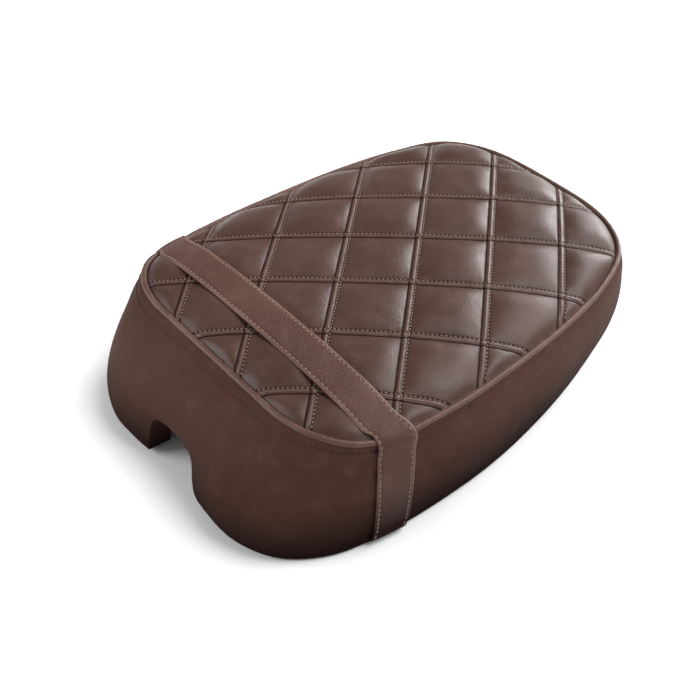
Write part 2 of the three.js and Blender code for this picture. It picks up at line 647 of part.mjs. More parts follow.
function hingePin(side) {
  const { pinRadius: r, headRadius: head } = HINGE;
  const tip = GROOVE_X - 2;
  const grooveEnd = GROOVE_X + HINGE.clipThickness + 2 * GAP;
  const headUnder = ARM.outer + GAP;
  const headTop = headUnder + HINGE.headHeight;
  const profile = [
    [0, tip], [r - 1, tip], [r, tip + 1], [r, GROOVE_X], [r - 1, GROOVE_X], [r - 1, grooveEnd],
    [r, grooveEnd], [r, headUnder], [head, headUnder], [head, headTop - 1], [head - 1, headTop], [0, headTop],
  ].map(([radius, x]) => new THREE.Vector2(radius, x));
  const pin = new THREE.LatheGeometry(profile, 12).rotateZ(-side * Math.PI / 2);
  return pin.translate(0, HINGE.pinY, HINGE.pinZ);
}

// An open ring that snaps into the pin's groove.
function hingeClip(side) {
  const { pinY, pinZ, pinRadius, clipRadius, clipThickness, clipMouth } = HINGE;
  const x = GROOVE_X + GAP;
  const disc = barAcross(side, x, x + clipThickness, clipRadius, 20);
  const bore = barAcross(side, x - 1, x + 2, pinRadius - 1 + GAP, 16);
  const half = clipMouth / 2;
  const mouth = box([side * x - 3, pinY - half, pinZ - clipRadius - 1], [side * x + 3, pinY + half, pinZ]);
  return cut(disc, bore, mouth);
}

for (const [name, side] of sides) {
  const screws = hingeScrews.filter((place) => place.name.startsWith(name));
  piece(seat, `hinge_seat_leaf_${name}`, seatLeaf(side, screws), "steel");
  const washer = barAcross(side, WASHER.inner, WASHER.outer, HINGE.washerRadius, 20);
  piece(frameSide, `hinge_washer_${name}`, cut(washer, pinHole(side)), "steel");
  piece(frameSide, `hinge_pin_${name}`, hingePin(side), "steel");
  piece(frameSide, `hinge_clip_${name}`, hingeClip(side), "steel");
}
for (const { name, x, y } of hingeScrews) {
  piece(seat, `hinge_screw_${name}`, screw(x, y, plateUnder - GAP), "steel");
}
piece(frameSide, "hinge_frame_bracket", frameBracket(), "bracket");

// ---------------------------------------------------------------- latch

// The striker: a plate under the roof with a round bar loop for the bike's latch to catch.
function latchStriker() {
  const { y, screwX, plateEnd, plateHalfY, loopWidth, rod, bend, bottomZ } = LATCH;
  const half = loopWidth / 2;
  const low = bottomZ + rod;
  const corner = (side) =>
    [[half, low + bend], [half, low], [half - bend, low]].map(([x, z]) => vector(side * x, y, z));
  const [legEnd, , lowEnd] = corner(1);
  const route = new THREE.CurvePath();
  route.add(new THREE.LineCurve3(vector(-half, y, plateUnder + 1), vector(-half, y, low + bend)));
  route.add(new THREE.QuadraticBezierCurve3(...corner(-1)));
  route.add(new THREE.LineCurve3(vector(bend - half, y, low), lowEnd));
  route.add(new THREE.QuadraticBezierCurve3(...corner(1).reverse()));
  route.add(new THREE.LineCurve3(legEnd, vector(half, y, plateUnder + 1)));
  const round = new THREE.Shape().absarc(0, 0, rod, 0, 2 * Math.PI);
  const bar = new THREE.ExtrudeGeometry(round, { extrudePath: route, steps: 16, curveSegments: 4 });
  const [endX, endY] = [screwX + plateEnd, plateHalfY];
  const plate = roundedPlate(-endX, y - endY, endX, y + endY, plateUnder, plateTop, 5);
  return holed(joined(plate, bar), latchScrews, plateUnder, plateTop);
}

piece(seat, "latch_striker", latchStriker(), "steel");
latchScrews.forEach(({ x, y }, i) => {
  piece(seat, `latch_screw_${i + 1}`, screw(x, y, plateUnder - GAP), "steel");
});

export default new THREE.Group().add(seat, frameSide);
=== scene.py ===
"""Quilted passenger seat of a motorcycle with a grab strap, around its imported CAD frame.

Metres, in the frame of the solids: +Y to the rear, +X to the rider's left, +Z up.
"""

import json
import math

import bpy
import numpy as np
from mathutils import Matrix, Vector
from mathutils.kdtree import KDTree


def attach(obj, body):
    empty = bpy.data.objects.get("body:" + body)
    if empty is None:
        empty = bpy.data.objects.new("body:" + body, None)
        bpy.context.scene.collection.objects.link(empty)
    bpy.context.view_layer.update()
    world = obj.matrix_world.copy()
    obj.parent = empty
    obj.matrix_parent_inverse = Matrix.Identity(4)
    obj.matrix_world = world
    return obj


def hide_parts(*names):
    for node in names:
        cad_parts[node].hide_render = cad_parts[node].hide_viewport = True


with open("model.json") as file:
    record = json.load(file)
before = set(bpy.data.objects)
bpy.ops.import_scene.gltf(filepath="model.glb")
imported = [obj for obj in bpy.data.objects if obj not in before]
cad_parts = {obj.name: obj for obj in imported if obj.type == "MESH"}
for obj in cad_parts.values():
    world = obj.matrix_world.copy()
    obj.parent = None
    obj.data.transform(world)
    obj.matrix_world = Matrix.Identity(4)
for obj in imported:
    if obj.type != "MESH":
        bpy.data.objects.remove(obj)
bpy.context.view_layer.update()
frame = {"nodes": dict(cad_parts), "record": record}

MM = 0.001
rng = np.random.default_rng(7)

# ---------------------------------------------------------------- design lines

# Half outlines of the cover, in millimetres, as the solids have them: the seam under the welt, the
# belly half way down and the foot, from the front middle round the left side to the rear middle.
SEAM_LINE = [
    (0, -174, 108), (50, -174, 108), (88, -173, 108), (115, -165, 107.5), (138, -147, 104.5),
    (149, -119, 100.5), (155, -60, 98), (154, 0, 97.5), (148, 75, 98), (135, 139, 99),
    (114, 184, 101.5), (74, 209, 102.5), (0, 216, 102.5),
]
BELLY_LINE = [
    (0, -220, 46), (50, -224, 46), (88, -220, 46), (120, -204, 47), (144, -170, 48),
    (157, -124, 50), (165, -55, 50), (163, 0, 50), (155, 75, 50), (140, 143, 50),
    (120, 190, 50), (81, 221, 50), (0, 230.5, 50),
]
FOOT_LINE = [
    (0, -221, 4), (45, -225, 4), (85, -224, 4), (120, -208, 4), (145, -175, 4),
    (157, -128, 4), (162, -55, 4), (160, 0, 4), (149, 72, 4), (132, 137, 4),
    (113, 184, 4), (76, 210, 4), (0, 217, 4),
]
STRAP_RANK = 5
CROWN_HEIGHT, CROWN_MIDDLE_Y = 117.6, 23
CROWN_ACROSS, CROWN_ALONG, CROWN_ROLL = 4.26e-4, 5e-5, 6
ARCH_HALF_WIDTH, ARCH_HEIGHT, ARCH_FLANK, ARCH_FLARE = 30, 50, 30, 10
LIP_DEPTH, LIP_NARROWS = 20, 1.5  # the leather's run into the arch, and how far it closes in

PIPING_RADIUS, PIPING_INSET, PIPING_DROP = 2.5, 1.2, 1.0
LEATHER = 1.4  # thickness of the cover's panels

# Quilting: diamonds of this half width and half length, with seams on the odd lines.
DIAMOND_X, DIAMOND_Y = 42.0, 46.1
SEAM_GAP = 1 / math.hypot(1 / DIAMOND_X, 1 / DIAMOND_Y)  # from a seam to the middle of a diamond
SEAM_DEPTH, PUFF_HEIGHT = 0.2, 4.4
RIDGE_HALF, RIDGE_HEIGHT = 1.15, 0.8
STITCH_ROW = 2.9  # from the middle of a quilt seam to its stitch row
STITCH_PITCH, STITCH_LENGTH = 5.0, 3.8  # on the strap and the side panels
QUILT_PITCH, QUILT_LENGTH = 3.7, 2.7  # on the quilted top
TOPSTITCH_DROP = 6.4  # from the seam down to the row of stitches on the side panels

STRAP_HALF, STRAP_LIFT, LINING_TOP, STRAP_THICK = 16.0, -0.4, 1.2, 1.8
STRAP_PRESS = 1.5  # how far the strap presses the welt down


def closed_outline(half):
    """The closed ring of an outline's points, in metres, from its half and the mirror image."""
    left = np.array(half, float) * MM
    return np.vstack([left, left[-2:0:-1] * (-1, 1, 1)])


SEAM, BELLY, FOOT = (closed_outline(line) for line in (SEAM_LINE, BELLY_LINE, FOOT_LINE))
STRAP_TURN = STRAP_RANK / len(SEAM)
LAP = 1150.0  # length of the seam once round the seat, in millimetres
PANEL_GAP = 0.00005  # share of a turn from a panel's end to the middle of its seam


def outline_at(ring, turn):
    """Points on the smooth closed curve through a ring, turn 0 to 1 once round the seat."""
    count = len(ring)
    place = (np.asarray(turn, float) % 1.0) * count
    first = np.floor(place).astype(int)
    t = (place - first)[..., None]
    p0, p1, p2, p3 = (ring[(first + k) % count] for k in (-1, 0, 1, 2))
    d0, d1, d2 = (
        np.sqrt(np.linalg.norm(b - a, axis=-1, keepdims=True)) for a, b in ((p0, p1), (p1, p2), (p2, p3))
    )
    start = ((p1 - p0) / d0 - (p2 - p0) / (d0 + d1) + (p2 - p1) / d1) * d1
    end = ((p2 - p1) / d1 - (p3 - p1) / (d1 + d2) + (p3 - p2) / d2) * d1
    return p1 + start * t + (3 * (p2 - p1) - 2 * start - end) * t**2 + (2 * (p1 - p2) + start + end) * t**3


def unit(v):
    return v / np.maximum(np.linalg.norm(v, axis=-1, keepdims=True), 1e-12)


def along(turn, ring):
    """The level direction along an outline."""
    ahead = outline_at(ring, np.asarray(turn) + 0.002) - outline_at(ring, np.asarray(turn) - 0.002)
    return unit(ahead * (1, 1, 0))


def outward(turn, ring):
    """The level direction out of the seat."""
    ahead = along(turn, ring)
    return np.stack([ahead[..., 1], -ahead[..., 0], 0 * ahead[..., 0]], -1)


def skin(turn, drop):
    """A point on the side of the cover: drop runs 0 to 1 from seam to foot."""
    turn, drop = np.broadcast_arrays(np.asarray(turn, float), np.asarray(drop, float))
    top, middle, foot = (outline_at(ring, turn) for ring in (SEAM, BELLY, FOOT))
    handle = 2 * middle - (top + foot) / 2
    t = drop[..., None]
    return (1 - t) ** 2 * top + 2 * t * (1 - t) * handle + t**2 * foot


def skin_normal(turn, drop):
    step = 0.004
    down = skin(turn, np.minimum(drop + step, 1)) - skin(turn, np.maximum(drop - step, 0))
    ahead = skin(turn + step, drop) - skin(turn - step, drop)
    return unit(np.cross(down, ahead))


def inset_from(ring, turn, inset, z):
    """A point at a level inset from an outline, at a height, both in millimetres."""
    p = outline_at(ring, turn) - outward(turn, ring) * np.asarray(inset)[..., None] * MM
    p[..., 2] = np.asarray(z) * MM
    return p


def seam_inset(turn, inset, rise):
    p = outline_at(SEAM, turn) - outward(turn, SEAM) * np.asarray(inset)[..., None] * MM
    p[..., 2] += np.asarray(rise) * MM
    return p


def ripple(points, wavelength, seed, waves=9):
    """A smooth, even unrest of about -1 to 1 over points in space, the same on every run."""
    draw = np.random.default_rng(seed)
    total = np.zeros(points.shape[:-1])
    for _ in range(waves):
        direction = unit(draw.normal(size=3)) * 2 * math.pi / (wavelength * MM * draw.uniform(0.7, 1.5))
        total += np.sin(points @ direction + draw.uniform(0, 2 * math.pi))
    return total / math.sqrt(waves)


# ---------------------------------------------------------------- the quilted top as a height

RING = outline_at(SEAM, np.arange(3600) / 3600)
RING_IN = -outward(np.arange(3600) / 3600, SEAM)
ring_tree = KDTree(len(RING))
for index, corner in enumerate(RING):
    ring_tree.insert((corner[0], corner[1], 0), index)
ring_tree.balance()


def crown(x, y):
    """Height of the plain crown, all in metres."""
    across, back = x / MM, y / MM - CROWN_MIDDLE_Y
    return (CROWN_HEIGHT - CROWN_ACROSS * across**2 - CROWN_ALONG * back**2) * MM


ring_angle = np.arctan2(RING[:, 1], RING[:, 0])
ring_order = np.argsort(ring_angle)
ring_angle = ring_angle[ring_order]
ring_reach = np.hypot(RING[:, 0], RING[:, 1])[ring_order]
ring_roll = (crown(RING[:, 0], RING[:, 1]) - RING[:, 2])[ring_order]


def reach_share(x, y):
    angle = np.arctan2(y, x)
    return np.hypot(x, y) / np.interp(angle, ring_angle, ring_reach, period=2 * math.pi), angle


def top_height(x, y):
    """Height of the smooth top, which rolls down to the seam at its edge."""
    share, angle = reach_share(x, y)
    roll = np.interp(angle, ring_angle, ring_roll, period=2 * math.pi)
    return crown(x, y) - roll * np.minimum(share, 1.01) ** CROWN_ROLL


def edge_depth(x, y):
    """Distance in from the seam in millimetres, and the nearest point of the ring."""
    share, _ = reach_share(x, y)
    found = [ring_tree.find((px, py, 0)) for px, py in zip(x.ravel(), y.ravel())]
    nearest = np.array([f[1] for f in found]).reshape(x.shape)
    depth = np.array([f[2] for f in found]).reshape(x.shape) / MM
    return np.where(share < 1, depth, -depth), nearest


def rise(t, power):
    return 1 - (1 - np.clip(t, 0, 1)) ** power


CELL_LIFT = rng.uniform(0.9, 1.08, (16, 16))


def quilt_height(x, y, depth):
    """Height of the quilted leather."""
    u = x / MM / DIAMOND_X + y / MM / DIAMOND_Y
    v = x / MM / DIAMOND_X - y / MM / DIAMOND_Y
    from_u = np.abs((u - 1) - 2 * np.round((u - 1) / 2)) * SEAM_GAP
    from_v = np.abs((v - 1) - 2 * np.round((v - 1) / 2)) * SEAM_GAP
    lift = CELL_LIFT[np.floor((u + 1) / 2).astype(int) % 16, np.floor((v + 1) / 2).astype(int) % 16]
    start = STITCH_ROW + 0.6
    reach = SEAM_GAP - start
    puff = rise((from_u - start) / reach, 3.4) * rise((from_v - start) / reach, 3.4)
    edge = rise((depth - 4) / 20, 2.6)
    ridge = np.maximum(np.cos(np.clip(from_u / RIDGE_HALF, 0, 1) * math.pi / 2) ** 1.2,
                       np.cos(np.clip(from_v / RIDGE_HALF, 0, 1) * math.pi / 2) ** 1.2)
    dent = np.exp(-(((from_u - STITCH_ROW) / 0.7) ** 2)) + np.exp(-(((from_v - STITCH_ROW) / 0.7) ** 2))
    near = np.minimum(from_u, from_v)
    pucker = ripple(np.stack([x, y, 0 * x], -1), 9, 11) * np.exp(-np.maximum(near - 3, 0) / 5) * 0.13
    soft = ripple(np.stack([x, y, 0 * x], -1), 55, 12) * 0.3
    crease = 2.4 * np.exp(-(((depth - 2.6) / 3.6) ** 2))
    pressed = np.exp(-(((y / MM - SEAM_LINE[STRAP_RANK][1]) / 18) ** 6))
    height = PUFF_HEIGHT * puff * edge * lift * (1 - 0.5 * pressed)
    height = height + (pucker + soft * puff) * edge
    height += (RIDGE_HEIGHT * ridge - 0.35 * dent) * np.clip((depth - 4) / 4, 0, 1)
    sink = SEAM_DEPTH * np.clip((depth - 2) / 8, 0, 1)
    return top_height(x, y) + (height - sink - crease) * MM


# ---------------------------------------------------------------- meshes


def add_mesh(name, points, faces, materials, face_material=None):
    mesh = bpy.data.meshes.new(name)
    faces = faces if isinstance(faces, list) else faces.tolist()
    mesh.from_pydata(np.asarray(points).reshape(-1, 3).tolist(), [], faces)
    mesh.polygons.foreach_set("use_smooth", [True] * len(mesh.polygons))
    piece = bpy.data.objects.new(name, mesh)
    bpy.context.scene.collection.objects.link(piece)
    for finish in materials if isinstance(materials, list) else [materials]:
        mesh.materials.append(finish)
    if face_material is not None:
        mesh.polygons.foreach_set("material_index", np.asarray(face_material, int).tolist())
    return piece


def grid_faces(rows, columns, wrap_rows=False, wrap_columns=False):
    """Quads of a grid of points, row by row."""
    i = np.arange(rows if wrap_rows else rows - 1)[:, None]
    j = np.arange(columns if wrap_columns else columns - 1)[None, :]
    below, right = (i + 1) % rows, (j + 1) % columns
    quads = np.stack([i * columns + j, i * columns + right, below * columns + right, below * columns + j], -1)
    return quads.reshape(-1, 4)


def thicken(piece, thickness=LEATHER):
    """Gives a sheet its thickness, inwards."""
    solid = piece.modifiers.new("thickness", "SOLIDIFY")
    solid.thickness = thickness * MM
    solid.offset = -1
    solid.use_even_offset = False
    apply_modifiers(piece)


def apply_modifiers(piece):
    graph = bpy.context.evaluated_depsgraph_get()
    graph.update()
    mesh = bpy.data.meshes.new_from_object(piece.evaluated_get(graph))
    piece.modifiers.clear()
    piece.data = mesh


def finished(piece, body, slot, *replaced):
    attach(piece, body)
    if replaced:
        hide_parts(*replaced)
    return piece


def stitches(name, points, tangents, normals, finish, length=STITCH_LENGTH, radius=0.45, lift=0.15):
    """One mesh of many short arched lengths of thread that dive into the leather at their ends."""
    sides, rings = 6, 5
    place = np.linspace(-1, 1, rings)
    girth = np.sqrt(1 - (0.86 * place) ** 2)
    angle = np.arange(sides) * 2 * math.pi / sides
    local = np.array([
        (p * length / 2, radius * g * math.cos(a), lift + radius * g * math.sin(a) - 0.45 * p * p)
        for p, g in zip(place, girth) for a in angle
    ]) * MM
    across = unit(np.cross(normals, tangents))
    shape = np.stack([tangents, across, normals], 1)
    cloud = points[:, None, :] + np.einsum("kc,ncd->nkd", local, shape)
    one = grid_faces(rings, sides, wrap_columns=True).tolist()
    ends = [list(range(sides))[::-1], [(rings - 1) * sides + k for k in range(sides)]]
    count = len(local)
    faces = [[k + n * count for k in face] for n in range(len(points)) for face in one + ends]
    mesh = bpy.data.meshes.new(name)
    mesh.from_pydata(cloud.reshape(-1, 3).tolist(), [], faces)
    mesh.polygons.foreach_set("use_smooth", [True] * len(mesh.polygons))
    mesh.materials.append(finish)
    piece = bpy.data.objects.new(name, mesh)
    bpy.context.scene.collection.objects.link(piece)
    return piece


def spaced(path, pitch):
    """Points at an even pitch along a polyline, and the direction there."""
    lengths = np.concatenate([[0], np.cumsum(np.linalg.norm(np.diff(path, axis=0), axis=1))])
    places = np.arange(pitch * MM / 2, lengths[-1], pitch * MM)
    at = lambda s: np.stack([np.interp(s, lengths, path[:, k]) for k in range(3)], -1)
    return at(places), unit(at(places + 5e-4) - at(places - 5e-4))


# ---------------------------------------------------------------- finishes


class Finish:
    """A node-based material, built input by input."""

    def __init__(self, name):
        self.material = bpy.data.materials.new(name)
        self.material.use_nodes = True
        self.tree = self.material.node_tree
        self.shader = self.tree.nodes["Principled BSDF"]
        self.place = self.tree.nodes.new("ShaderNodeTexCoord").outputs["Object"]

    def node(self, kind, settings=None, **inputs):
        made = self.tree.nodes.new("ShaderNode" + kind)
        for key, value in (settings or {}).items():
            setattr(made, key, value)
        for key, value in inputs.items():
            self.put(made.inputs[int(key[1:]) if key[0] == "_" else key.replace("_", " ")], value)
        return made

    def put(self, socket, value):
        if isinstance(value, bpy.types.NodeSocket):
            self.tree.links.new(value, socket)
        else:
            socket.default_value = value

    def set(self, **inputs):
        for key, value in inputs.items():
            self.put(self.shader.inputs[key.replace("_", " ")], value)

    def noise(self, scale, detail=3, place=None, roughness=0.5):
        place = place or self.place
        made = self.node("TexNoise", Vector=place, Scale=scale, Detail=detail, Roughness=roughness)
        return made.outputs["Fac"]

    def spread(self, value, low, high, to_low, to_high):
        made = self.node("MapRange", {"interpolation_type": "SMOOTHSTEP"}, Value=value)
        for key, number in (("From Min", low), ("From Max", high), ("To Min", to_low), ("To Max", to_high)):
            made.inputs[key].default_value = number
        return made.outputs["Result"]

    def mix(self, factor, first, second, blend="MIX"):
        made = self.tree.nodes.new("ShaderNodeMix")
        made.data_type = "RGBA"
        made.blend_type = blend
        for socket, value in ((0, factor), (6, first), (7, second)):
            self.put(made.inputs[socket], value)
        return made.outputs[2]

    def math(self, operation, first, second):
        return self.node("Math", {"operation": operation}, _0=first, _1=second).outputs[0]

    def bump(self, height, distance, strength=1.0, below=None):
        made = self.node("Bump", Height=height, Distance=distance, Strength=strength)
        if below is not None:
            self.put(made.inputs["Normal"], below)
        return made.outputs["Normal"]


def color(red, green, blue):
    return (red, green, blue, 1)


def leather(name, base, dark, light, roughness, grain=1.0, creases=0.7, gloss=0.5, shade=None):
    """Corrected-grain leather: fine cells with creases, soft wrinkles and uneven dye."""
    f = Finish(name)
    bent = f.node("TexNoise", Vector=f.place, Scale=160.0, Detail=2.0).outputs["Color"]
    place = f.node("VectorMath", {"operation": "MULTIPLY_ADD"}, _0=bent, _1=(0.003, 0.003, 0.003), _2=f.place)
    place = place.outputs[0]
    cells = f.node("TexVoronoi", {"feature": "DISTANCE_TO_EDGE"}, Vector=place, Scale=620.0)
    pebble = f.spread(cells.outputs["Distance"], 0.0, 0.28, 0.0, 1.0)
    fine = f.noise(2100.0, 2)
    wrinkle = f.noise(85.0, 4, roughness=0.6)
    patches = f.noise(9.0, 3)
    mottle = f.noise(60.0, 3)
    tone = f.mix(f.spread(patches, 0.3, 0.7, 0.0, 1.0), base, dark)
    tone = f.mix(f.spread(mottle, 0.45, 0.8, 0.0, 0.5), tone, light)
    tone = f.mix(f.spread(pebble, 0.0, 0.6, 0.35, 0.0), tone, dark)
    shine = f.math("ADD", f.spread(mottle, 0.3, 0.7, roughness - 0.05, roughness + 0.06),
                   f.spread(pebble, 0.0, 1.0, 0.08, 0.0))
    relief = f.bump(wrinkle, 0.0011 * creases, 0.35)
    relief = f.bump(pebble, 0.00020 * grain, 0.6, relief)
    relief = f.bump(fine, 0.00006 * grain, 0.4, relief)
    # Painted light: the shade function paints shade (and along the quilt seams a highlight) into the tone,
    # and clean, its unshaded share, dims the gloss with it.
    if shade:
        tone, clean = shade(f, tone)
        gloss = f.math("MULTIPLY", clean, gloss)
    f.set(Base_Color=tone, Roughness=shine, Normal=relief, Specular_IOR_Level=gloss)
    return f.material


# The near-black that the painted shade mixes in, at the foot and along the quilt's stitch rows.
DEEP = color(0.010, 0.005, 0.004)


def seam_highlight_and_shade(f, tone):
    """Along each quilt seam, a ridge painted lighter, partly rubbed tone and partly painted highlight,
    between two stitch rows painted as dark bands, which are painted shade in the rows' dents and also stand
    for the dark needle holes.
    """
    x, y, _ = f.node("SeparateXYZ", Vector=f.place).outputs
    clean = 1.0
    for side in (1, -1):
        line = f.math("ADD", f.math("MULTIPLY", x, 0.5 / (DIAMOND_X * MM)),
                      f.math("MULTIPLY", y, side * 0.5 / (DIAMOND_Y * MM)))
        off = f.math("ABSOLUTE", f.math("SUBTRACT", f.math("FRACT", line, 0.0), 0.5), 0.0)
        off = f.math("MULTIPLY", off, 2 * SEAM_GAP)
        # Painted highlight, partly rubbed tone: the ridge along the seam line is lightened.
        tone = f.mix(f.spread(off, 0.3, 1.1, 0.5, 0.0), tone, color(0.17, 0.100, 0.080))
        # Painted shade along both stitch rows: a continuous dark band that darkens the tone and dims the
        # gloss.
        row = f.math("ABSOLUTE", f.math("SUBTRACT", off, STITCH_ROW), 0.0)
        clean = f.math("MULTIPLY", f.spread(row, 0.4, 1.3, 0.15, 1.0), clean)
    return f.mix(clean, DEEP, tone), clean


def foot_shade(f, tone):
    """Painted shade: the leather is painted darker and duller towards the foot, where the wall turns under
    and the floor shades it.
    """
    _, _, z = f.node("SeparateXYZ", Vector=f.place).outputs
    # Here clean is the unshaded share of the painted shade: 0.05 at the floor, 1 from 72 mm up.
    clean = f.spread(z, 0.0, 0.072, 0.05, 1.0)
    return f.mix(clean, DEEP, tone), clean


def thread_finish(name, deep, pale):
    """Twisted polyester thread."""
    f = Finish(name)
    twist = f.node("TexWave", {"bands_direction": "DIAGONAL"}, Vector=f.place, Scale=900.0, Distortion=1.0)
    tone = f.mix(f.noise(300.0), deep, pale)
    f.set(Base_Color=tone, Roughness=0.62, Normal=f.bump(twist.outputs["Fac"], 0.00008, 0.6))
    return f.material


def plastic_finish():
    """Black moulded polypropylene with a fine spark texture."""
    f = Finish("pan_plastic")
    spark = f.noise(900.0, 2)
    tone = f.mix(f.noise(25.0), color(0.014, 0.014, 0.015), color(0.024, 0.024, 0.025))
    shine = f.spread(f.noise(40.0, 4), 0.3, 0.7, 0.42, 0.58)
    f.set(Base_Color=tone, Roughness=shine, Normal=f.bump(spark, 0.0001, 0.4))
    return f.material


def zinc_finish():
    """Zinc plated steel, slightly yellowed and rubbed."""
    f = Finish("zinc_steel")
    tone = f.mix(f.noise(45.0, 5), color(0.56, 0.56, 0.55), color(0.66, 0.63, 0.56))
    shine = f.spread(f.noise(120.0, 5), 0.3, 0.7, 0.26, 0.44)
    f.set(Base_Color=tone, Metallic=1.0, Roughness=shine, Normal=f.bump(f.noise(700.0, 2), 0.00004, 0.5))
    return f.material


def paint_finish():
    """Black powder coat with orange peel."""
    f = Finish("bracket_paint")
    tone = f.mix(f.noise(60.0, 4), color(0.016, 0.016, 0.018), color(0.026, 0.026, 0.028))
    shine = f.spread(f.noise(90.0, 4), 0.3, 0.7, 0.3, 0.42)
    f.set(Base_Color=tone, Roughness=shine, Normal=f.bump(f.noise(520.0, 2), 0.00012, 0.5))
    return f.material


def rubber_finish():
    f = Finish("bumper_rubber")
    tone = f.mix(f.noise(80.0, 4), color(0.012, 0.012, 0.012), color(0.03, 0.03, 0.029))
    f.set(Base_Color=tone, Roughness=f.spread(f.noise(150.0, 3), 0.3, 0.7, 0.7, 0.88),
          Normal=f.bump(f.noise(1200.0, 2), 0.00006, 0.5))
    return f.material


def porous_finish(name, pale, deep, scale):
    """Foam, wadding and cotton: soft, pale and open."""
    f = Finish(name)
    cells = f.node("TexVoronoi", Vector=f.place, Scale=scale).outputs["Distance"]
    tone = f.mix(f.spread(cells, 0.0, 0.6, 0.0, 1.0), deep, pale)
    f.set(Base_Color=tone, Roughness=0.92, Normal=f.bump(cells, 0.0006, 0.6))
    return f.material


# The quilted top's leather carries the painted highlight and painted shade along its seams.
top_leather = leather("top_leather", color(0.076, 0.037, 0.028), color(0.055, 0.025, 0.018),
                      color(0.102, 0.055, 0.043), 0.34, grain=0.5, creases=0.35, gloss=0.27, shade=seam_highlight_and_shade)
# The skirt's, the strap's and the strap edge's leathers carry painted shade towards the foot.
skirt_leather = leather("skirt_leather", color(0.084, 0.039, 0.030), color(0.060, 0.026, 0.019),
                        color(0.110, 0.058, 0.046), 0.56, grain=1.8, gloss=0.05, shade=foot_shade)
strap_leather = leather("strap_leather", color(0.100, 0.046, 0.035), color(0.070, 0.030, 0.022),
                        color(0.134, 0.070, 0.055), 0.46, grain=1.8, gloss=0.18, shade=foot_shade)
# A lighter edge finish that strap_body lays on the top bevels only, where it is partly edge paint and partly
# a painted highlight along the strap's edges.
strap_edge = leather("strap_edge", color(0.17, 0.100, 0.078), color(0.115, 0.063, 0.048),
                     color(0.23, 0.145, 0.116), 0.5, grain=0.4, creases=0.3, gloss=0.2, shade=foot_shade)
piping_leather = leather("piping_leather", color(0.122, 0.062, 0.046), color(0.080, 0.038, 0.028),
                         color(0.180, 0.100, 0.077), 0.36, grain=0.5, creases=0.6, gloss=0.32)
thread = thread_finish("thread", color(0.18, 0.112, 0.086), color(0.38, 0.265, 0.215))
dark_thread = thread_finish("dark_thread", color(0.030, 0.018, 0.014), color(0.085, 0.055, 0.043))
foam_finish = porous_finish("seat_foam", color(0.72, 0.66, 0.46), color(0.5, 0.43, 0.26), 700.0)
wadding_finish = porous_finish("quilt_wadding", color(0.82, 0.80, 0.75), color(0.6, 0.58, 0.54), 900.0)
cord_finish = porous_finish("cord_cotton", color(0.72, 0.68, 0.60), color(0.45, 0.41, 0.35), 1500.0)
cad_finishes = {
    "pan_plastic": plastic_finish(), "zinc_steel": zinc_finish(), "bracket_paint": paint_finish(),
    "bumper_rubber": rubber_finish(), "cord_cotton": cord_finish,
}


def finish_cad_nodes():
    slots = {part["node"]: part["material_slot"] for part in frame["record"]["subparts"]}
    for name, node in frame["nodes"].items():
        if slots[name] in cad_finishes:
            node.data.materials.clear()
            node.data.materials.append(cad_finishes[slots[name]])


# ---------------------------------------------------------------- quilted top


def lattice(offsets):
    """Lattice places from one seam to the next, close together at the seams."""
    half = np.array(offsets) / SEAM_GAP
    one = np.concatenate([half, 2 - half[::-1]])
    return np.unique(np.round(np.concatenate([one + 2 * cell - 1 for cell in range(-4, 4)]), 9))


def quilt_grid(offsets, cut):
    """Points in plan and the quads of the quilted field, trimmed along a line inside the seam."""
    places = lattice(offsets)
    u, v = np.meshgrid(places, places, indexing="ij")
    x = DIAMOND_X * (u + v) / 2 * MM
    y = DIAMOND_Y * (u - v) / 2 * MM
    share, _ = reach_share(x, y)
    keep = share < 1.06
    faces = grid_faces(len(places), len(places))
    faces = faces[keep.ravel()[faces].all(1)]
    used, faces = np.unique(faces, return_inverse=True)
    faces = faces.reshape(-1, 4)
    x, y = x.ravel()[used], y.ravel()[used]
    depth, nearest = edge_depth(x, y)
    outside = depth < cut
    x = np.where(outside, RING[nearest, 0] + RING_IN[nearest, 0] * cut * MM, x)
    y = np.where(outside, RING[nearest, 1] + RING_IN[nearest, 1] * cut * MM, y)
    depth = np.where(outside, cut, depth)
    faces = faces[~outside[faces].all(1)]
    used, faces = np.unique(faces, return_inverse=True)
    return x[used], y[used], depth[used], faces.reshape(-1, 4)


def clean(piece):
    import bmesh
    work = bmesh.new()
    work.from_mesh(piece.data)
    bmesh.ops.remove_doubles(work, verts=work.verts, dist=0.08 * MM)
    bmesh.ops.dissolve_degenerate(work, edges=work.edges, dist=0.03 * MM)
    work.to_mesh(piece.data)
    work.free()
    piece.data.polygons.foreach_set("use_smooth", [True] * len(piece.data.polygons))


FINE = (0, 0.7, 1.3, 1.8, 2.2, 2.6, 3.0, 3.5, 4.1, 5, 6.2, 7.8, 9.8, 12, 14.3, 16.6, 19, 21.4, 23.8, 26.2,
        28.6, SEAM_GAP)


def quilted_top():
    x, y, depth, faces = quilt_grid(FINE, 2.0)
    points = np.stack([x, y, quilt_height(x, y, depth)], -1)
    piece = add_mesh("quilted_top", points, faces, top_leather)
    clean(piece)
    thicken(piece)
    finished(piece, "seat", "top_leather", "quilted_top_panel")


